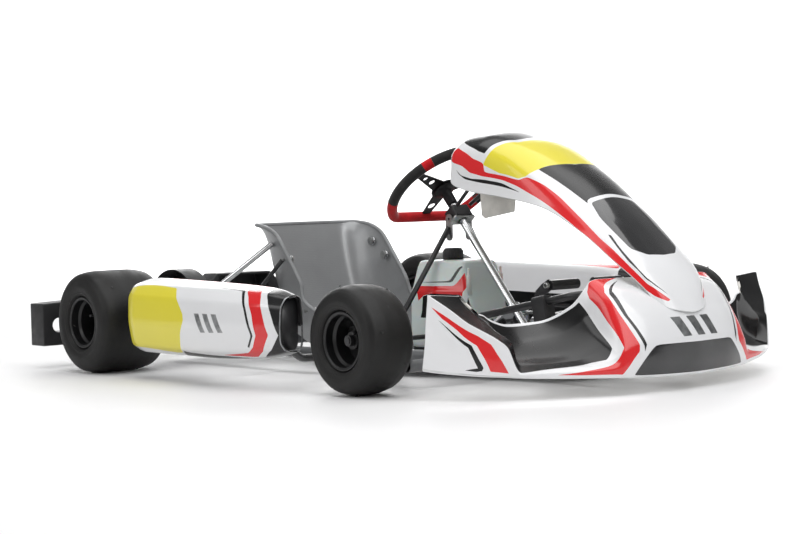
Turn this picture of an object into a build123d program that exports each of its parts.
from build123d import *
import os
from math import cos, sin, radians

# Kart chassis.  +X forward, +Y to the driver's left, +Z up, millimetres.
# The origin is on the ground below the middle of the whole kart.

os.makedirs("parts", exist_ok=True)

SIDES = (("left", 1), ("right", -1))

# ---- driving dimensions -------------------------------------------------------------
WHEELBASE = 1050
FRONT_X = 400
REAR_X = FRONT_X - WHEELBASE

REAR_TYRE_R = 139
REAR_TYRE_W = 212
REAR_WHEEL_Y = 594
FRONT_TYRE_R = 129
FRONT_TYRE_W = 135
FRONT_WHEEL_Y = 561
BEAD_R = 63.5
RIM_HUB_R = 21
LUG_R = 4
LUG_CIRCLE_R = 34
TYRE_WALL = 7
RIM_WALL = 3

FRAME_Z = 55
FRAME_TUBE_R = 15
FRAME_TUBE_WALL = 2
FRAME_BEND_R = 90
RAIL_NOSE = (600, 120)
RAIL_TOE = (420, 140)
RAIL_WAIST = (80, 250)
RAIL_HIP = (-120, 320)
RAIL_TAIL = (-760, 320)
CROSS_XS = (575, 0, -560, -742)

AXLE_R = 25
AXLE_WALL = 3
AXLE_HALF = 520
RUNNING = 0.05
BEARING_OUTER_R = 40
BEARING_W = 16
HANGER_T = 8

KINGPIN_Y = 455
KINGPIN_R = 5
CASTER = 10
STEER_ARM = 105
SPINDLE_R = 8.5
SPINDLE_END_Y = 602

COLUMN_R = 10
COLUMN_WALL = 2
COLUMN_LEAN = 49.8
COLUMN_POINT = (325, 0, 166)
PITMAN_R = 75
PITMAN_ALONG = 3.5
LUG_Y = 16
LUG_HOLE_R = 8.5
LUG_HOLE_SHIFT = (2.6, 1.3)
LUG_PAD_R = 16
TIE_BOLT_R = 4
ROD_EYE_PLAY = 0.15
TIE_ROD_R = 6
ROD_END_R = 11
ROD_END_T = 13
RING_DROP = 14
GRIP_R = 14
WHEEL_R = 152
WHEEL_FLAT = 112

SPROCKET_Y = -370
SPROCKET_R = 99
SPROCKET_TEETH = 80
DISC_Y = 210
DISC_R = 98
DISC_T = 10
PAD_GAP = 0.8

PEDAL_PIVOT = (590, 92)
PEDAL_BAR = (578, 236)
PEDAL_BAR_R = 12.5
PEDAL_PIN_R = 5

SHELL_T = 4


# ---- helpers ------------------------------------------------------------------------
def save(piece, node):
    """Label a finished piece and write it under its node name."""
    piece.part.label = node
    export_step(piece.part, f"parts/{node}.step")


def tube(points, outer_r, wall=0, bend=60):
    """A round tube or bar along straight runs joined by bends."""
    with BuildPart() as piece:
        with BuildLine() as path:
            if len(points) > 2:
                FilletPolyline(*points, radius=bend)
            else:
                Line(*points)
        with BuildSketch(Plane(origin=path.line @ 0, z_dir=path.line % 0)):
            Circle(outer_r)
            if wall:
                Circle(outer_r - wall, mode=Mode.SUBTRACT)
        sweep(path=path.line)
    return piece


def rail_points(sign, height=FRAME_Z):
    """Centre line of one main rail."""
    corners = (RAIL_NOSE, RAIL_TOE, RAIL_WAIST, RAIL_HIP, RAIL_TAIL)
    return [(x, sign * y, height) for x, y in corners]


def solid_rails():
    """Both main rails without their bore, for coping the tubes that meet them."""
    return [tube(rail_points(sign), FRAME_TUBE_R, 0, FRAME_BEND_R).part for _, sign in SIDES]


def wheel_plane(x, y, z):
    """Section plane of a wheel: local x along +Y, local y up."""
    return Plane(origin=(x, y, z), x_dir=(0, 1, 0), z_dir=(1, 0, 0))


def disc_plane(x, y, z):
    """Plane square to the wheel axis; its normal is +Y."""
    return Plane(origin=(x, y, z), x_dir=(1, 0, 0), z_dir=(0, 1, 0))


def ring(x, y0, y1, z, outer_r, inner_r=0.0):
    """A ring or round bar about an axis along Y from y0 to y1."""
    low, high = min(y0, y1), max(y0, y1)
    with BuildPart() as piece:
        with BuildSketch(disc_plane(x, low, z)):
            Circle(outer_r)
            if inner_r:
                Circle(inner_r, mode=Mode.SUBTRACT)
        extrude(amount=high - low)
    return piece.part


def side_slab(outline, high_y, thickness):
    """A plate seen from the side, (X, Z) outline, from high_y down to high_y - thickness."""
    with BuildPart() as piece:
        with BuildSketch(Plane.XZ.offset(-high_y)):
            with BuildLine():
                Polyline(*outline, close=True)
            make_face()
        extrude(amount=thickness)
    return piece.part


def thicken(outline, thickness):
    """Close an open outline with its own offset, as a thin section."""
    points = [Vector(*p) for p in outline]
    inner = []
    for i, point in enumerate(points):
        before = points[max(i - 1, 0)]
        after = points[min(i + 1, len(points) - 1)]
        along = (after - before).normalized()
        inner.append((point.X - along.Y * thickness, point.Y + along.X * thickness))
    return [(p.X, p.Y) for p in points] + inner[::-1]


# ---- frame: coped round tubes, one node each ------------------------------------------
for side, sign in SIDES:
    rail = tube(rail_points(sign), FRAME_TUBE_R, FRAME_TUBE_WALL, FRAME_BEND_R)
    save(rail, f"frame_{side}_rail")

RAILS = solid_rails()


def cross_tube(x, reach, outer_r=FRAME_TUBE_R):
    """A tube across the kart at x, coped where it meets the rails."""
    with BuildPart() as piece:
        with BuildSketch(disc_plane(x, -reach, FRAME_Z)):
            Circle(outer_r)
            Circle(outer_r - FRAME_TUBE_WALL, mode=Mode.SUBTRACT)
        extrude(amount=2 * reach)
        for rail in RAILS:
            add(rail, mode=Mode.SUBTRACT)
    return piece


def between_rails(piece):
    """Keep only the solid nearest the middle of the kart."""
    middle = sorted(piece.part.solids(), key=lambda s: abs(s.center().Y))[0]
    with BuildPart() as kept:
        add(middle)
    return kept


YOKE_INNER_Y = KINGPIN_Y - 30

front_cross = cross_tube(FRONT_X, YOKE_INNER_Y)
with BuildPart() as cross_tubes:
    add(front_cross.part)
    for x in CROSS_XS:
        add(between_rails(cross_tube(x, RAIL_HIP[1])).part)
save(cross_tubes, "frame_cross_tubes")

ARM_R = 14
with BuildPart() as side_arms:
    for _, sign in SIDES:
        arm_start = (FRONT_X - FRAME_TUBE_R - 9, sign * (YOKE_INNER_Y - 18), FRAME_Z)
        arm_end = (90, sign * 246, FRAME_Z)
        add(tube([arm_start, arm_end], ARM_R, FRAME_TUBE_WALL).part)
    for rail in RAILS:
        add(rail, mode=Mode.SUBTRACT)
longest = sorted(side_arms.part.solids(), key=lambda s: s.volume)[-2:]
with BuildPart() as kept_arms:
    for solid in longest:
        add(solid)
save(kept_arms, "frame_side_arms")

# ---- front corners: C-shaped yokes, kingpin bolts, stub axles ---------------------------
STUB_Z = FRONT_TYRE_R
LEAN = radians(CASTER)


def kingpin_plane(sign, along=0.0):
    """Plane square to one kingpin; its normal runs up the pin."""
    normal = Vector(-sin(LEAN), 0, cos(LEAN))
    centre = Vector(FRONT_X, sign * KINGPIN_Y, STUB_Z) + normal * along
    return Plane(origin=centre, x_dir=(cos(LEAN), 0, sin(LEAN)), z_dir=normal)


EAR_GAP = 29
EAR_T = 6
with BuildPart() as yokes:
    for _, sign in SIDES:
        for low in (-EAR_GAP - EAR_T, EAR_GAP):
            with BuildSketch(kingpin_plane(sign, low)):
                with Locations((0, -sign * 9)):
                    RectangleRounded(38, 50, 8)
                Circle(KINGPIN_R + RUNNING, mode=Mode.SUBTRACT)
            extrude(amount=EAR_T)
        with BuildSketch(kingpin_plane(sign, -EAR_GAP - EAR_T)):
            with Locations((0, -sign * 31)):
                Rectangle(38, EAR_T)
        extrude(amount=2 * (EAR_GAP + EAR_T))
        with BuildSketch(Plane.XY.offset(FRAME_Z + 11)):
            with Locations((FRONT_X + 3, sign * (KINGPIN_Y - 31))):
                Rectangle(30, EAR_T)
        extrude(amount=STUB_Z - EAR_GAP - FRAME_Z - 11)
    add(ring(FRONT_X, -YOKE_INNER_Y, YOKE_INNER_Y, FRAME_Z, FRAME_TUBE_R), mode=Mode.SUBTRACT)
save(yokes, "kingpin_yokes")

with BuildPart() as kingpins:
    for _, sign in SIDES:
        with BuildSketch(kingpin_plane(sign, -44)):
            Circle(KINGPIN_R)
        extrude(amount=85)
        with BuildSketch(kingpin_plane(sign, EAR_GAP + EAR_T)):
            RegularPolygon(8.5, 6)
        extrude(amount=7)
        with BuildSketch(kingpin_plane(sign, -EAR_GAP - EAR_T - 7)):
            RegularPolygon(8.5, 6)
        extrude(amount=7)
save(kingpins, "kingpin_bolts")

SLEEVE_HALF = 26
for side, sign in SIDES:
    with BuildPart() as stub:
        with BuildSketch(kingpin_plane(sign, -SLEEVE_HALF)):
            Circle(13)
        extrude(amount=2 * SLEEVE_HALF)
        with BuildSketch(kingpin_plane(sign, -14)):
            with BuildLine():
                Polyline((0, -12), (-70, -9), (-STEER_ARM, -9), (-STEER_ARM, 9), (-70, 9), (0, 12), close=True)
            make_face()
            with Locations((-STEER_ARM, 0)):
                Circle(11)
        extrude(amount=8)
        with BuildSketch(kingpin_plane(sign, -14)):
            with Locations((-STEER_ARM, 0)):
                Circle(TIE_BOLT_R)
        extrude(amount=26)
        add(ring(FRONT_X, sign * KINGPIN_Y, sign * (KINGPIN_Y + 62), STUB_Z, 12.5))
        add(ring(FRONT_X, sign * (KINGPIN_Y + 62), sign * SPINDLE_END_Y, STUB_Z, SPINDLE_R))
        add(ring(FRONT_X, sign * (SPINDLE_END_Y - 14), sign * (SPINDLE_END_Y - 2), STUB_Z, 13))
        with BuildSketch(kingpin_plane(sign, -SLEEVE_HALF)):
            Circle(KINGPIN_R + RUNNING)
        extrude(amount=2 * SLEEVE_HALF, mode=Mode.SUBTRACT)
    save(stub, f"{side}_stub_axle")


# ---- wheels: rims and slick tyres -------------------------------------------------------
def tyre(x, sign, wheel_y, radius, width):
    """A slick tyre: bulged walls, rounded shoulders and an almost flat tread."""
    half = width / 2
    bead = BEAD_R + 1.5
    drop = radius - bead
    outline = [
        (-half + 16, bead),
        (-half + 16, bead + 6),
        (-half + 4, bead + 0.2 * drop),
        (-half, bead + 0.42 * drop),
        (-half + 3, bead + 0.66 * drop),
        (-half + 12, radius - 12),
        (-half + 28, radius - 3),
        (-half + 52, radius),
    ]
    outline = outline + [(-a, r) for a, r in reversed(outline)]
    inner = [(a * (half - TYRE_WALL) / half, r - TYRE_WALL) for a, r in outline[3:-3]]
    toe = [(half - 26, bead), (half - 22, bead + 8)]
    inner = [(-a, r) for a, r in toe] + inner + toe[::-1]
    with BuildPart() as piece:
        with BuildSketch(wheel_plane(x, sign * wheel_y, radius)):
            with BuildLine():
                Polyline(*outline, *reversed(inner), close=True)
            make_face()
        revolve(axis=Axis((x, sign * wheel_y, radius), (0, 1, 0)))
    return piece


def rim(x, sign, wheel_y, z, width, web, bore_r, hub_span):
    """A two-lipped rim; web is the disc's offset from the wheel's middle, outward positive."""
    half = width / 2 - 12
    barrel = [
        (-half, BEAD_R + 5),
        (-half + 2, BEAD_R + 5),
        (-half + 3, BEAD_R + 1),
        (-half + 18, BEAD_R + 1),
        (-half + 24, BEAD_R - 5),
        (half - 24, BEAD_R - 5),
        (half - 18, BEAD_R + 1),
        (half - 3, BEAD_R + 1),
        (half - 2, BEAD_R + 5),
        (half, BEAD_R + 5),
        (half, BEAD_R + 1 - RIM_WALL),
        (half - 20, BEAD_R - 2),
        (half - 26, BEAD_R - 5 - RIM_WALL),
        (-half + 26, BEAD_R - 5 - RIM_WALL),
        (-half + 20, BEAD_R - 2),
        (-half, BEAD_R + 1 - RIM_WALL),
    ]
    centre = sign * wheel_y
    with BuildPart() as piece:
        with BuildSketch(wheel_plane(x, centre, z)):
            with BuildLine():
                Polyline(*barrel, close=True)
            make_face()
        revolve(axis=Axis((x, centre, z), (0, 1, 0)))
        add(ring(x, centre + sign * web, centre + sign * (web + 8), z, BEAD_R - 7, bore_r))
        if hub_span:
            add(ring(x, centre + sign * hub_span[0], centre + sign * hub_span[1], z, RIM_HUB_R, bore_r))
        with BuildSketch(disc_plane(x, min(centre + sign * web, centre + sign * (web + 8)) - 1, z)):
            with PolarLocations(44, 3, start_angle=90):
                Circle(8)
            with PolarLocations(LUG_CIRCLE_R, 3, start_angle=-90):
                Circle(LUG_R + 0.2)
        extrude(amount=10, mode=Mode.SUBTRACT)
    return piece


for side, sign in SIDES:
    save(tyre(FRONT_X, sign, FRONT_WHEEL_Y, FRONT_TYRE_R, FRONT_TYRE_W), f"front_{side}_tyre")
    save(
        rim(FRONT_X, sign, FRONT_WHEEL_Y, STUB_Z, FRONT_TYRE_W, -14, SPINDLE_R + RUNNING, (-40, 26)),
        f"front_{side}_rim",
    )
    save(tyre(REAR_X, sign, REAR_WHEEL_Y, REAR_TYRE_R, REAR_TYRE_W), f"rear_{side}_tyre")
    save(
        rim(REAR_X, sign, REAR_WHEEL_Y, REAR_TYRE_R, REAR_TYRE_W, -36, AXLE_R, None),
        f"rear_{side}_rim",
    )

# ---- live rear axle: tube, hubs, disc, sprocket, bearings and hangers --------------------
AXLE_Z = REAR_TYRE_R
with BuildPart() as rear_axle:
    add(ring(REAR_X, -AXLE_HALF, AXLE_HALF, AXLE_Z, AXLE_R, AXLE_R - AXLE_WALL))
save(rear_axle, "rear_axle")

WEB_Y = REAR_WHEEL_Y - 36
for side, sign in SIDES:
    with BuildPart() as hub:
        add(ring(REAR_X, sign * 452, sign * (WEB_Y - 8), AXLE_Z, AXLE_R + 8, AXLE_R))
        add(ring(REAR_X, sign * (WEB_Y - 9), sign * WEB_Y, AXLE_Z, 46, AXLE_R))
        for k in range(3):
            turn = radians(90 + 120 * k)
            x = REAR_X + LUG_CIRCLE_R * cos(turn)
            z = AXLE_Z + LUG_CIRCLE_R * sin(turn)
            add(ring(x, sign * WEB_Y, sign * (WEB_Y + 24), z, LUG_R))
            add(ring(x, sign * (WEB_Y + 8), sign * (WEB_Y + 16), z, 7))
    save(hub, f"rear_{side}_hub")


CARRIER_BOLT_CIRCLE_R = 41
CARRIER_BOLT_R = 4
with BuildPart() as carriers:
    for y, flange_y in ((DISC_Y - 14, DISC_Y - 14), (SPROCKET_Y + 10, SPROCKET_Y + 3)):
        add(ring(REAR_X, y - 22, y + 22, AXLE_Z, AXLE_R + 8, AXLE_R))
        add(ring(REAR_X, flange_y, flange_y + 6, AXLE_Z, 48, AXLE_R))
        with BuildSketch(disc_plane(REAR_X, y - 30, AXLE_Z)):
            with Locations((AXLE_R + 5, 0)):
                Rectangle(14, 2)
        extrude(amount=60, mode=Mode.SUBTRACT)
        for k in range(6):
            turn = radians(30 + 60 * k)
            x = REAR_X + CARRIER_BOLT_CIRCLE_R * cos(turn)
            z = AXLE_Z + CARRIER_BOLT_CIRCLE_R * sin(turn)
            add(ring(x, flange_y - 8, flange_y + 6, z, CARRIER_BOLT_R))
save(carriers, "axle_carriers")

with BuildPart() as brake_disc:
    with BuildSketch(disc_plane(REAR_X, DISC_Y - 8, AXLE_Z)):
        Circle(DISC_R)
        Circle(AXLE_R + 9, mode=Mode.SUBTRACT)
        with PolarLocations(64, 6):
            SlotOverall(26, 14, rotation=90, mode=Mode.SUBTRACT)
        with PolarLocations(84, 18):
            Circle(3, mode=Mode.SUBTRACT)
    extrude(amount=DISC_T)
save(brake_disc, "brake_disc")

with BuildPart() as sprocket:
    with BuildSketch(disc_plane(REAR_X, SPROCKET_Y - 2, AXLE_Z)):
        Circle(SPROCKET_R)
        Circle(AXLE_R + 9, mode=Mode.SUBTRACT)
        with PolarLocations(SPROCKET_R, SPROCKET_TEETH):
            Circle(2.5, mode=Mode.SUBTRACT)
        with PolarLocations(68, 6):
            SlotOverall(34, 18, rotation=90, mode=Mode.SUBTRACT)
        with PolarLocations(CARRIER_BOLT_CIRCLE_R, 6, start_angle=30):
            Circle(CARRIER_BOLT_R, mode=Mode.SUBTRACT)
    extrude(amount=4)
save(sprocket, "sprocket")

with BuildPart() as bearings:
    for _, sign in SIDES:
        y = sign * RAIL_TAIL[1]
        add(ring(REAR_X, y - BEARING_W / 2, y + BEARING_W / 2, AXLE_Z, BEARING_OUTER_R, AXLE_R + RUNNING))
save(bearings, "axle_bearings")

with BuildPart() as hangers:
    for _, sign in SIDES:
        y = sign * RAIL_TAIL[1]
        with BuildSketch(disc_plane(REAR_X, y - HANGER_T / 2, AXLE_Z)):
            Circle(BEARING_OUTER_R + 9)
            with BuildLine():
                Polyline((-70, 69), (70, 69), (46, 0), (76, -60), (60, -74), (0, -46), (-44, 0), close=True)
            make_face()
            Circle(BEARING_OUTER_R, mode=Mode.SUBTRACT)
        extrude(amount=HANGER_T)
save(hangers, "axle_hangers")

# ---- steering: column, hub, wheel, bush, uprights and tie rods --------------------------
UP_COLUMN = Vector(-cos(radians(COLUMN_LEAN)), 0, sin(radians(COLUMN_LEAN)))
BACK_DOWN = Vector(-sin(radians(COLUMN_LEAN)), 0, -cos(radians(COLUMN_LEAN)))


def column_plane(along):
    """Plane square to the column; local x points back and down, the normal up the column."""
    return Plane(origin=Vector(*COLUMN_POINT) + UP_COLUMN * along, x_dir=BACK_DOWN, z_dir=UP_COLUMN)


def column_bar(start, end, outer_r, inner_r=0.0):
    """A round bar or sleeve on the column's axis."""
    with BuildPart() as piece:
        with BuildSketch(column_plane(start)):
            Circle(outer_r)
            if inner_r:
                Circle(inner_r, mode=Mode.SUBTRACT)
        extrude(amount=end - start)
    return piece.part


COLUMN_FOOT = -101
COLUMN_TOP = 356
# The plate's holes sit off the bolts' rest places, in the middle of the small loop each bolt runs round.
LUG_HOLES = [(PITMAN_R + LUG_HOLE_SHIFT[0], sign * (LUG_Y + LUG_HOLE_SHIFT[1])) for _, sign in SIDES]
with BuildPart() as column:
    add(column_bar(COLUMN_FOOT, COLUMN_TOP, COLUMN_R, COLUMN_R - COLUMN_WALL))
    with BuildSketch(column_plane(PITMAN_ALONG - 3)):
        with BuildLine():
            Polyline((0, -16), (PITMAN_R, -32), (PITMAN_R, 32), (0, 16), close=True)
        make_face()
        with Locations(*LUG_HOLES):
            Circle(LUG_PAD_R)
        Circle(18)
        with Locations(*LUG_HOLES):
            Circle(LUG_HOLE_R, mode=Mode.SUBTRACT)
        Circle(COLUMN_R - 1, mode=Mode.SUBTRACT)
    extrude(amount=6)
save(column, "steering_column")

with BuildPart() as steering_hub:
    with BuildSketch(column_plane(COLUMN_TOP)):
        Circle(13)
    with BuildSketch(column_plane(COLUMN_TOP + 46)):
        Circle(27)
    loft()
    add(column_bar(COLUMN_TOP - 8, COLUMN_TOP + 1, 13))
    add(column_bar(COLUMN_TOP - 9, COLUMN_TOP, COLUMN_R), mode=Mode.SUBTRACT)
save(steering_hub, "steering_hub")

with BuildPart() as wheel_plate:
    with BuildSketch(column_plane(COLUMN_TOP + 46)):
        Circle(36)
        for turn in (0, 115, -115):
            reach = WHEEL_FLAT if turn == 0 else WHEEL_R
            with Locations(Rotation(0, 0, turn)):
                Trapezoid(46, reach - 4, 84, align=(Align.CENTER, Align.MIN), rotation=-90)
        with PolarLocations(68, 1, start_angle=0):
            Circle(11, mode=Mode.SUBTRACT)
        for turn in (115, -115):
            with PolarLocations(66, 1, start_angle=turn):
                Circle(9, mode=Mode.SUBTRACT)
            with PolarLocations(100, 1, start_angle=turn):
                Circle(7, mode=Mode.SUBTRACT)
    extrude(amount=4)
save(wheel_plate, "steering_wheel_plate")

FLAT_ANGLE = 42.5
with BuildPart() as wheel_grip:
    with BuildLine(column_plane(COLUMN_TOP + 48)) as grip_path:
        turn = radians(FLAT_ANGLE)
        low_right = (WHEEL_R * cos(turn), -WHEEL_R * sin(turn))
        low_left = (WHEEL_R * cos(turn), WHEEL_R * sin(turn))
        rim_arc = ThreePointArc(low_right, (-WHEEL_R, 0), low_left)
        flat = Line(low_left, low_right)
        fillet(grip_path.vertices(), 42)
    with BuildSketch(Plane(origin=grip_path.line @ 0, z_dir=grip_path.line % 0)):
        Circle(GRIP_R)
    sweep(path=grip_path.line, transition=Transition.ROUND)
save(wheel_grip, "steering_wheel_grip")

BUSH_ALONG = 316
BUSH_HALF = 16
FOOT_ALONG = -92
with BuildPart() as bush:
    with BuildSketch(column_plane(BUSH_ALONG - BUSH_HALF)):
        RectangleRounded(40, 58, 6)
        Circle(COLUMN_R + RUNNING, mode=Mode.SUBTRACT)
    extrude(amount=2 * BUSH_HALF)
    with BuildSketch(column_plane(FOOT_ALONG)):
        Circle(17)
        Circle(COLUMN_R + RUNNING, mode=Mode.SUBTRACT)
    extrude(amount=14)
    add(front_cross.part, mode=Mode.SUBTRACT)
save(bush, "steering_bushes")

BUSH_POINT = Vector(*COLUMN_POINT) + UP_COLUMN * BUSH_ALONG
with BuildPart() as uprights:
    for _, sign in SIDES:
        foot = Vector(96, sign * 244, FRAME_Z + FRAME_TUBE_R)
        head = BUSH_POINT + Vector(0, sign * 36, -34)
        leg = head - foot
        with BuildSketch(Plane(origin=foot, z_dir=leg)):
            Circle(7)
        extrude(amount=leg.length)
        with BuildSketch(Plane(origin=head + Vector(0, -sign * 4, 0), x_dir=(1, 0, 0), z_dir=(0, sign, 0))):
            SlotOverall(70, 24, rotation=90)
            with Locations((0, 22)):
                Circle(4, mode=Mode.SUBTRACT)
        extrude(amount=4)
    with BuildSketch(column_plane(BUSH_ALONG - BUSH_HALF - 6)):
        RectangleRounded(34, 72, 6)
        Circle(COLUMN_R + 3, mode=Mode.SUBTRACT)
    extrude(amount=5)
    for rail in RAILS:
        add(rail, mode=Mode.SUBTRACT)
save(uprights, "steering_uprights")

LUG_CENTRE = Vector(*COLUMN_POINT) + UP_COLUMN * PITMAN_ALONG + BACK_DOWN * PITMAN_R
for side, sign in SIDES:
    outer_plane = kingpin_plane(sign, ROD_END_T / 2 - 6 + 0.3)
    outer_end = outer_plane.origin + outer_plane.x_dir * -STEER_ARM
    inner_end = LUG_CENTRE + Vector(0, sign * LUG_Y, 0) + UP_COLUMN * -RING_DROP
    span = outer_end - inner_end
    with BuildPart() as tie_rod:
        with BuildSketch(Plane(origin=inner_end + span * (9 / span.length), z_dir=span)):
            Circle(TIE_ROD_R)
        extrude(amount=span.length - 18)
        with BuildSketch(Plane(origin=inner_end + UP_COLUMN * (-ROD_END_T / 2), z_dir=UP_COLUMN)):
            Circle(ROD_END_R)
        extrude(amount=ROD_END_T)
        with BuildSketch(Plane(origin=inner_end + UP_COLUMN * (-ROD_END_T / 2), z_dir=UP_COLUMN)):
            Circle(TIE_BOLT_R)
        extrude(amount=40)
        with BuildSketch(Plane(origin=inner_end + UP_COLUMN * 26, z_dir=UP_COLUMN)):
            RegularPolygon(7, 6)
        extrude(amount=6)
        with BuildSketch(Plane(origin=outer_end, x_dir=outer_plane.x_dir, z_dir=outer_plane.z_dir)):
            Circle(ROD_END_R)
        extrude(amount=ROD_END_T / 2, both=True)
        with BuildSketch(Plane(origin=outer_end, x_dir=outer_plane.x_dir, z_dir=outer_plane.z_dir)):
            Circle(TIE_BOLT_R + ROD_EYE_PLAY)
        extrude(amount=12, both=True, mode=Mode.SUBTRACT)
    save(tie_rod, f"{side}_tie_rod")


# ---- pedals, brake linkage and hydraulics ------------------------------------------------
ARM_OUTLINE = (
    (576, 92), (550, 134), (528, 172), (524, 198), (536, 222), (556, 238), (578, 250),
    (582, 224), (568, 215), (550, 202), (548, 184), (572, 146), (604, 98),
)
ARM_Y = 120
ARM_T = 7
LUG_RISE = 46
LINK_PIN_R = 3
PEDAL_OUTER_Y = 133
THROTTLE_EYE_R = 2.5


def pedal(sign):
    """A knurled foot bar on a curved arm that turns on a pin across the kart."""
    with BuildPart() as piece:
        add(side_slab(ARM_OUTLINE, max(sign * ARM_Y, sign * (ARM_Y + ARM_T)), ARM_T))
        add(ring(PEDAL_PIVOT[0], sign * 20, sign * PEDAL_OUTER_Y, PEDAL_PIVOT[1], 12))
        add(ring(PEDAL_BAR[0], sign * 28, sign * (ARM_Y + 2), PEDAL_BAR[1], PEDAL_BAR_R))
        if sign > 0:
            lug = [(580, 92), (600, 92), (596, 92 + LUG_RISE + 7), (584, 92 + LUG_RISE + 7)]
            add(side_slab(lug, PEDAL_OUTER_Y, 6))
            add(ring(PEDAL_PIVOT[0], PEDAL_OUTER_Y, PEDAL_OUTER_Y + 12, PEDAL_PIVOT[1] + LUG_RISE, LINK_PIN_R))
        else:
            lug = [(583, 92), (601, 92), (606, 68), (596, 68)]
            add(side_slab(lug, -60, 5))
            add(ring(600, -66, -59, 75, THROTTLE_EYE_R), mode=Mode.SUBTRACT)
        pin_hole = ring(PEDAL_PIVOT[0], sign * 10, sign * 150, PEDAL_PIVOT[1], PEDAL_PIN_R + RUNNING)
        add(pin_hole, mode=Mode.SUBTRACT)
    return piece


save(pedal(1), "brake_pedal")
save(pedal(-1), "throttle_pedal")

with BuildPart() as pedal_brackets:
    for _, sign in SIDES:
        add(ring(PEDAL_PIVOT[0], sign * 9, sign * 145, PEDAL_PIVOT[1], PEDAL_PIN_R))
        for y in (12, PEDAL_OUTER_Y + 3):
            plate = [(578, 82), (602, 82), (596, 104), (584, 104)]
            foot = [(548, 68), (584, 52), (602, 82), (578, 90)]
            high = max(sign * y, sign * (y + 5))
            add(side_slab(plate, high, 5))
            add(side_slab(foot, high, 5))
    add(ring(CROSS_XS[0], -RAIL_NOSE[1], RAIL_NOSE[1], FRAME_Z, FRAME_TUBE_R), mode=Mode.SUBTRACT)
    for rail in RAILS:
        add(rail, mode=Mode.SUBTRACT)
save(pedal_brackets, "pedal_brackets")

PUMP_X = 144
PUMP_Y = 215
LEVER_PIVOT_Z = 92
ROD_R = 4
with BuildPart() as pump_lever:
    lever = [(PUMP_X - 8, 84), (PUMP_X + 8, 84), (PUMP_X + 6, 92 + LUG_RISE + 6), (PUMP_X - 6, 92 + LUG_RISE + 6)]
    add(side_slab(lever, PUMP_Y + 3, 6))
    add(ring(PUMP_X, PUMP_Y - 14, PUMP_Y - 3, LEVER_PIVOT_Z + LUG_RISE, LINK_PIN_R))
    add(ring(PUMP_X, PUMP_Y - 10, PUMP_Y + 10, LEVER_PIVOT_Z, PEDAL_PIN_R + RUNNING), mode=Mode.SUBTRACT)
save(pump_lever, "pump_lever")

rod_front = Vector(PEDAL_PIVOT[0], PEDAL_OUTER_Y + 6, PEDAL_PIVOT[1] + LUG_RISE)
rod_back = Vector(PUMP_X, PUMP_Y - 9, LEVER_PIVOT_Z + LUG_RISE)
rod_span = rod_back - rod_front
with BuildPart() as brake_rod:
    with BuildSketch(Plane(origin=rod_front + rod_span * (7 / rod_span.length), z_dir=rod_span)):
        Circle(ROD_R)
    extrude(amount=rod_span.length - 14)
    for end in (rod_front, rod_back):
        add(ring(end.X, end.Y - 3.5, end.Y + 3.5, end.Z, 9))
    for end in (rod_front, rod_back):
        add(ring(end.X, end.Y - 4, end.Y + 4, end.Z, LINK_PIN_R + 2.3), mode=Mode.SUBTRACT)
save(brake_rod, "brake_rod")

PUMP_Z = 112
with BuildPart() as pump:
    with BuildSketch(Plane.YZ.offset(PUMP_X + 26)):
        with Locations((PUMP_Y, PUMP_Z)):
            Circle(13)
    extrude(amount=74)
    with BuildSketch(Plane.XY.offset(PUMP_Z + 8)):
        with Locations((PUMP_X + 68, PUMP_Y + 3)):
            Circle(13)
    extrude(amount=34)
    for low in (PUMP_Y - 8, PUMP_Y + 8):
        ear = [(PUMP_X - 9, 66), (PUMP_X + 60, 66), (PUMP_X + 60, 112), (PUMP_X + 40, 112), (PUMP_X - 9, 98)]
        add(side_slab(ear, low + 2, 4))
    add(ring(PUMP_X, PUMP_Y - 10, PUMP_Y + 10, LEVER_PIVOT_Z, PEDAL_PIN_R))
    for tube_part in RAILS:
        add(tube_part, mode=Mode.SUBTRACT)
save(pump, "brake_master_cylinder")

CALIPER_ANGLE = 38
CALIPER_R = 80
CALIPER_X = REAR_X + CALIPER_R * cos(radians(CALIPER_ANGLE))
CALIPER_Z = AXLE_Z + CALIPER_R * sin(radians(CALIPER_ANGLE))
DISC_LOW_Y = DISC_Y - 8
DISC_HIGH_Y = DISC_LOW_Y + DISC_T
PAD_T = 5
with BuildPart() as caliper:
    with BuildSketch(disc_plane(CALIPER_X, DISC_LOW_Y - 22, CALIPER_Z)):
        RectangleRounded(56, 78, 10, rotation=-CALIPER_ANGLE)
    extrude(amount=DISC_T + 44)
    add(side_slab([(-582, 71), (-540, 71), (-548, 170), (-600, 170)], DISC_HIGH_Y + 20, 8))
    slot_low = DISC_LOW_Y - PAD_GAP - PAD_T - 0.4
    slot_high = DISC_HIGH_Y + PAD_GAP + PAD_T + 0.4
    add(ring(REAR_X, slot_low, slot_high, AXLE_Z, DISC_R + 6), mode=Mode.SUBTRACT)
save(caliper, "brake_caliper")

for node, low in (("brake_pad_inner", DISC_LOW_Y - PAD_GAP - PAD_T), ("brake_pad_outer", DISC_HIGH_Y + PAD_GAP)):
    with BuildPart() as pad:
        with BuildSketch(disc_plane(CALIPER_X, low, CALIPER_Z)):
            RectangleRounded(34, 50, 5, rotation=-CALIPER_ANGLE)
        extrude(amount=PAD_T)
    save(pad, node)

LINE_R = 3
line_route = [
    (PUMP_X + 84, PUMP_Y + 13.2, PUMP_Z),
    (PUMP_X + 84, PUMP_Y + 42, PUMP_Z),
    (PUMP_X + 20, PUMP_Y + 56, 84),
    (-20, 312, 80),
    (-130, 341, 80),
    (-480, 341, 84),
    (-552, 312, 130),
    (CALIPER_X, 276, CALIPER_Z),
    (CALIPER_X, DISC_HIGH_Y + 22.2, CALIPER_Z),
]
brake_line = tube(line_route, LINE_R, 0, 12)
save(brake_line, "brake_line")

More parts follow.
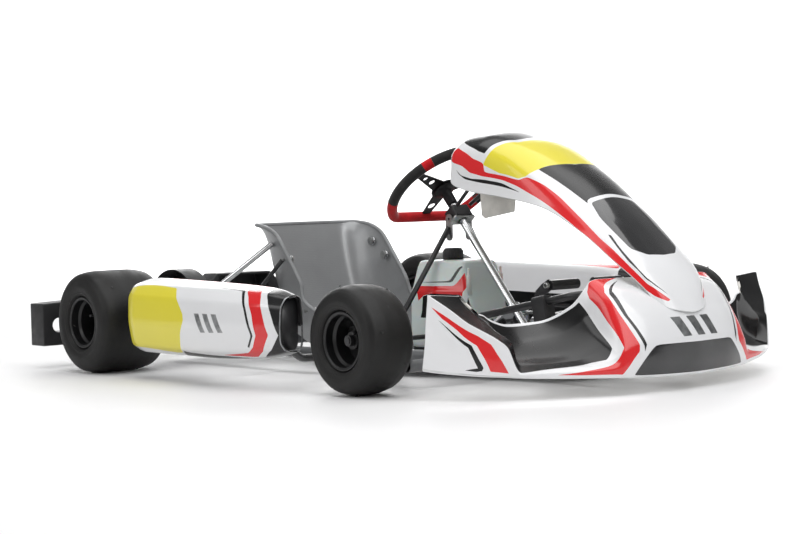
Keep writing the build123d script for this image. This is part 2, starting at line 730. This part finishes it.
# ---- fuel tank and cap --------------------------------------------------------------------
TANK_SIDE = ((30, 62), (236, 62), (236, 150), (198, 288), (38, 288))
TANK_FRONT = ((-100, 60), (100, 60), (100, 212), (72, 290), (-72, 290), (-100, 212))
TANK_PLAN = ((30, -100), (120, -100), (236, -66), (236, 66), (120, 100), (30, 100))
FILLER_X = 95
TANK_TOP = 288
TANK_WALL = 4
NIPPLE_R = 3
NIPPLE_POINT = (216, 56)
BOSS_R = 6
BOSS_SPAN = (198, 252)
NIPPLE_TOP = 270


def tank_body(inset):
    """The tank's side, front and top views crossed, each moved inward by inset."""
    views = (
        (Plane.XZ, TANK_SIDE, Mode.ADD),
        (Plane.YZ, TANK_FRONT, Mode.INTERSECT),
        (Plane.XY, TANK_PLAN, Mode.INTERSECT),
    )
    with BuildPart() as piece:
        for plane, outline, mode in views:
            with BuildSketch(plane):
                with BuildLine():
                    Polyline(*outline, close=True)
                make_face()
                if inset:
                    offset(amount=-inset, kind=Kind.INTERSECTION, mode=Mode.REPLACE)
            extrude(amount=300, both=True, mode=mode)
    return piece.part


with BuildPart() as tank:
    add(tank_body(0))
    fillet(tank.edges(), 8)
    add(tank_body(TANK_WALL), mode=Mode.SUBTRACT)
    with Locations((FILLER_X, 0, TANK_TOP - 2)):
        Cylinder(22, 12, align=(Align.CENTER, Align.CENTER, Align.MIN))
    with Locations((FILLER_X, 0, TANK_TOP - 8)):
        Cylinder(18, 20, align=(Align.CENTER, Align.CENTER, Align.MIN), mode=Mode.SUBTRACT)
    for _, sign in SIDES:
        foot = (NIPPLE_POINT[0], sign * NIPPLE_POINT[1], BOSS_SPAN[0])
        with Locations(foot):
            Cylinder(BOSS_R, BOSS_SPAN[1] - BOSS_SPAN[0], align=(Align.CENTER, Align.CENTER, Align.MIN))
            Cylinder(NIPPLE_R, NIPPLE_TOP - BOSS_SPAN[0], align=(Align.CENTER, Align.CENTER, Align.MIN))
save(tank, "fuel_tank")

with BuildPart() as cap:
    with BuildSketch(Plane.XY.offset(TANK_TOP + 1)):
        with Locations((FILLER_X, 0)):
            Circle(27)
    extrude(amount=30)
    fillet(cap.faces().sort_by(Axis.Z)[-1].edges(), 4)
    with BuildSketch(Plane.XY.offset(TANK_TOP + 1)):
        with Locations((FILLER_X, 0)):
            Circle(22.5)
    extrude(amount=10, mode=Mode.SUBTRACT)
    with BuildSketch(Plane.XY.offset(TANK_TOP + 1)):
        with Locations((FILLER_X, 0)):
            with PolarLocations(27.5, 18):
                Circle(1.6)
    extrude(amount=24, mode=Mode.SUBTRACT)
save(cap, "fuel_cap")

# ---- bucket seat and what holds it ---------------------------------------------------------
SEAT_T = 5
# spine X, spine Z, direction the section faces (degrees from +X), wall height, half width at the top
SEAT_STATIONS = (
    (-556, 388, 14, 42, 176),
    (-520, 262, 18, 96, 180),
    (-472, 140, 28, 150, 180),
    (-415, 76, 54, 150, 182),
    (-330, 50, 80, 128, 184),
    (-230, 46, 90, 96, 182),
    (-140, 60, 98, 62, 172),
)


def seat_section(height, half):
    """A thick U: floor, two curved bolsters, lips leaning outward."""
    left = [(-half - 6, height), (-half, height * 0.72), (-half * 0.9, height * 0.3), (-half * 0.62, 0)]
    right = [(-a, b) for a, b in reversed(left)]
    return thicken(left + right, -SEAT_T)


with BuildPart() as seat_bolts:
    for _, sign in SIDES:
        for x, z in ((-458, 330), (-401, 290), (-300, 150), (-200, 110)):
            add(ring(x, sign * 164, sign * 198, z, 4))
            add(ring(x, sign * 164, sign * 168, z, 11))
save(seat_bolts, "seat_bolts")

with BuildPart() as seat:
    for x, z, facing, height, half in SEAT_STATIONS:
        normal = (cos(radians(facing)), 0, sin(radians(facing)))
        along = Vector(0, 1, 0).cross(Vector(*normal))
        with BuildSketch(Plane(origin=(x, 0, z), x_dir=(0, 1, 0), z_dir=along)):
            with BuildLine():
                Polyline(*seat_section(height, half), close=True)
            make_face()
    loft(ruled=True)
    add(seat_bolts.part, mode=Mode.SUBTRACT)
save(seat, "seat")

with BuildPart() as seat_stays:
    for _, sign in SIDES:
        top = Vector(-452, sign * 191, 336)
        low = Vector(REAR_X + 68, sign * (RAIL_TAIL[1] - HANGER_T / 2 - 9), AXLE_Z + 66)
        with BuildSketch(Plane(origin=low, z_dir=top - low)):
            Circle(8)
        extrude(amount=(top - low).length)
        strut = [(-401, sign * 196, 290), (-470, sign * 222, 212), (-500, sign * 316, 72)]
        add(tube(strut, 6, 0, 30).part)
    for solid in (seat_bolts.part, seat.part, *RAILS):
        add(solid, mode=Mode.SUBTRACT)
save(seat_stays, "seat_stays")

# ---- floor tray, bumpers and bumper mounts --------------------------------------------------
TRAY_T = 1.5
TRAY_HALF_OUTLINE = ((602, 112), (420, 138), (90, 240), (-8, 262))
with BuildPart() as tray:
    with BuildSketch(Plane.XY.offset(FRAME_Z - FRAME_TUBE_R - TRAY_T)):
        with BuildLine():
            mirrored = [(x, -y) for x, y in reversed(TRAY_HALF_OUTLINE)]
            Polyline(*TRAY_HALF_OUTLINE, *mirrored, close=True)
        make_face()
    extrude(amount=TRAY_T)
save(tray, "floor_tray")

LOWER_BAR = [(604, 120, 58), (760, 130, 60), (845, 70, 62), (845, -70, 62), (760, -130, 60), (604, -120, 58)]
LOWER_BAR_R = 10
LOWER_BEND_R = 45
save(tube(LOWER_BAR, LOWER_BAR_R, 2, LOWER_BEND_R), "front_bumper_lower")

UPPER_BAR = [(262, 212, 132), (745, 205, 221), (790, 120, 226), (790, -120, 226), (745, -205, 221), (262, -212, 132)]
UPPER_BAR_R = 9
CLAMP_X = 640
with BuildPart() as upper_bar:
    add(tube(UPPER_BAR, UPPER_BAR_R, 2, 40).part)
    for _, sign in SIDES:
        foot = Vector(262, sign * 206, FRAME_Z + FRAME_TUBE_R - 1)
        head = Vector(270, sign * 211, 127)
        with BuildSketch(Plane(origin=foot, z_dir=head - foot)):
            Circle(9)
        extrude(amount=(head - foot).length)
        low_tie = Vector(842, sign * 62, 70)
        high_tie = Vector(794, sign * 62, 219)
        with BuildSketch(Plane(origin=low_tie, z_dir=high_tie - low_tie)):
            Circle(7)
        extrude(amount=(high_tie - low_tie).length)
    for solid in (tube(LOWER_BAR, LOWER_BAR_R, 0, LOWER_BEND_R).part, *RAILS):
        add(solid, mode=Mode.SUBTRACT)
save(upper_bar, "front_bumper_upper")

with BuildPart() as clamps:
    for _, sign in SIDES:
        rear = Vector(262, sign * 212, 132)
        along = Vector(745, sign * 205, 221) - rear
        grip = rear + along * ((CLAMP_X - rear.X) / along.X)
        with BuildSketch(Plane(origin=grip, x_dir=(0, 1, 0), z_dir=along)):
            with Locations((0, -16)):
                RectangleRounded(34, 62, 8)
            Circle(UPPER_BAR_R + 0.2, mode=Mode.SUBTRACT)
        extrude(amount=20, both=True)
save(clamps, "nose_clamps")

SIDE_BAR_XS = (-230, 60)
with BuildPart() as side_bumpers:
    for _, sign in SIDES:
        rear_x, front_x = SIDE_BAR_XS
        route = [
            (rear_x, sign * 334, 58),
            (rear_x, sign * 480, 62),
            (rear_x - 20, sign * 618, 125),
            (front_x + 60, sign * 610, 125),
            (front_x, sign * 480, 62),
            (front_x, sign * 292, 58),
        ]
        add(tube(route, 10, 2, 50).part)
    for tube_part in RAILS:
        add(tube_part, mode=Mode.SUBTRACT)
save(side_bumpers, "side_bumpers")

# ---- bodywork: nose, front panel, side pods, rear bumper -------------------------------------
# Half of the nose, from its middle out: Y, then (X, Z) from the bottom lip up to the rear edge.
NOSE_STATIONS = (
    (0, (935, 35), (940, 105), (926, 178), (868, 228), (795, 256)),
    (110, (926, 37), (930, 105), (910, 182), (860, 229), (795, 257)),
    (192, (908, 40), (909, 98), (884, 176), (846, 226), (793, 256)),
    (230, (896, 42), (892, 82), (850, 112), (800, 158), (768, 204)),
    (300, (868, 45), (862, 74), (815, 88), (765, 118), (727, 166)),
    (370, (830, 48), (826, 68), (785, 82), (738, 112), (703, 163)),
    (430, (790, 52), (790, 66), (760, 82), (720, 122), (688, 188)),
    (478, (752, 56), (754, 92), (736, 125), (702, 175), (660, 232)),
    (530, (697, 62), (706, 130), (704, 165), (684, 205), (656, 237)),
    (573, (634, 70), (650, 120), (656, 160), (656, 205), (650, 240)),
)
with BuildPart() as nose:
    for y, *outline in NOSE_STATIONS:
        with BuildSketch(Plane.XZ.offset(-y)):
            with BuildLine():
                Polyline(*thicken(outline, SHELL_T + y / 150), close=True)
            make_face()
    loft(ruled=True)
    mirror(about=Plane.XZ)
save(nose, "nose_fairing")

# Front panel sections: X, crown Z, shoulder (Y, Z), skirt top (Y, Z), skirt foot (Y, Z).
PANEL_STATIONS = (
    (252, 600, (70, 594), (120, 566), (137, 512)),
    (300, 617, (75, 611), (126, 574), (142, 474)),
    (433, 592, (75, 584), (126, 540), (142, 453)),
    (572, 522, (75, 513), (122, 470), (140, 427)),
    (703, 424, (66, 414), (112, 388), (131, 362)),
    (797, 340, (60, 336), (104, 322), (121, 298)),
    (865, 278, (50, 274), (86, 258), (106, 233)),
    (905, 226, (40, 222), (64, 212), (84, 198)),
)
with BuildPart() as panel:
    for x, crown, shoulder, skirt, foot in PANEL_STATIONS:
        half = [foot, skirt, shoulder]
        outline = half + [(0, crown)] + [(-y, z) for y, z in reversed(half)]
        with BuildSketch(Plane.YZ.offset(x)):
            with BuildLine():
                Polyline(*thicken(outline, SHELL_T), close=True)
            make_face()
    loft(ruled=True)
save(panel, "front_panel")

STAY_TOP = Vector(330, 0, 560)
with BuildPart() as stay:
    stay_foot = BUSH_POINT + Vector(20, 0, 24)
    for sign in (1, -1):
        low = stay_foot + Vector(0, sign * 22, 0)
        high = STAY_TOP + Vector(0, sign * 60, 0)
        with BuildSketch(Plane(origin=low, z_dir=high - low)):
            Circle(5)
        extrude(amount=(high - low).length)
    plate = [(246, 476), (250, 404), (262, 396), (372, 412), (380, 470), (374, 478)]
    add(side_slab(plate, -34, 3))
save(stay, "front_panel_stay")

# Side pod sections: X, then (Y, Z) from the lower inside edge round the outside to the inner wall.
POD_STATIONS = (
    (-445, (600, 74), (640, 76), (660, 92), (670, 150), (668, 214), (648, 244), (600, 252), (574, 240), (570, 170)),
    (-385, (600, 66), (652, 68), (680, 90), (690, 150), (686, 216), (664, 246), (604, 254), (566, 240), (560, 168)),
    (-110, (600, 62), (654, 64), (684, 88), (694, 150), (688, 212), (666, 240), (606, 247), (566, 232), (560, 162)),
    (110, (600, 62), (648, 66), (676, 92), (684, 152), (678, 206), (656, 232), (606, 238), (572, 222), (566, 156)),
    (212, (606, 76), (636, 80), (654, 96), (662, 152), (658, 204), (642, 226), (608, 230), (592, 214), (588, 150)),
)
for side, sign in SIDES:
    with BuildPart() as pod:
        for x, *outline in POD_STATIONS:
            section = [(sign * y, z) for y, z in thicken(outline, SHELL_T)]
            with BuildSketch(Plane.YZ.offset(x)):
                with BuildLine():
                    Polyline(*section, close=True)
                make_face()
        loft(ruled=True)
    save(pod, f"side_pod_{side}")

BUMPER_BACK_X = -940
BUMPER_DEPTH = 72
BUMPER_HALF = (
    (0, 84), (548, 84), (562, 64), (690, 64), (690, 183), (590, 187), (560, 190), (150, 190), (98, 240), (0, 240),
)
BUMPER_SLOT = (616, 121)
BUMPER_SLOT_SIZE = (86, 41)
with BuildPart() as rear_bumper:
    with BuildSketch(Plane.YZ.offset(BUMPER_BACK_X)):
        with BuildLine():
            Polyline(*BUMPER_HALF, *[(-y, z) for y, z in reversed(BUMPER_HALF[1:-1])], close=True)
        make_face()
        with Locations(*[(sign * BUMPER_SLOT[0], BUMPER_SLOT[1]) for _, sign in SIDES]):
            SlotOverall(*BUMPER_SLOT_SIZE, mode=Mode.SUBTRACT)
    extrude(amount=BUMPER_DEPTH)
    with BuildSketch(Plane.YZ.offset(BUMPER_BACK_X + SHELL_T)):
        with Locations((0, 137)):
            Rectangle(1080, 94)
        with Locations((0, 196)):
            Rectangle(180, 74)
    extrude(amount=BUMPER_DEPTH, mode=Mode.SUBTRACT)
save(rear_bumper, "rear_bumper")

with BuildPart() as bumper_mounts:
    for _, sign in SIDES:
        y = sign * RAIL_TAIL[1]
        route = [(-764, y, FRAME_Z + 2), (-805, y, FRAME_Z + 11), (-845, y, 128), (-935.5, y, 128)]
        add(tube(route, 10, 2, 22).part)
save(bumper_mounts, "rear_bumper_mounts")

GUARD_R = 131
GUARD_W = 58
with BuildPart() as guard:
    with BuildSketch(disc_plane(REAR_X, SPROCKET_Y - GUARD_W / 2, AXLE_Z)):
        Circle(GUARD_R)
        Circle(GUARD_R - 3, mode=Mode.SUBTRACT)
        with Locations((0, GUARD_R)):
            Rectangle(4 * GUARD_R, 2 * GUARD_R - 30, mode=Mode.SUBTRACT)
    extrude(amount=GUARD_W)
    with BuildSketch(disc_plane(REAR_X, SPROCKET_Y + GUARD_W / 2 - 3, AXLE_Z)):
        Circle(GUARD_R - 2)
        Circle(GUARD_R - 30, mode=Mode.SUBTRACT)
        with Locations((0, GUARD_R)):
            Rectangle(4 * GUARD_R, 2 * GUARD_R - 30, mode=Mode.SUBTRACT)
    extrude(amount=3)
    tab = [(-700, 236), (-600, 236), (-616, 190), (-684, 190)]
    add(side_slab(tab, SPROCKET_Y + GUARD_W / 2 + 16, 19))
save(guard, "chain_guard")
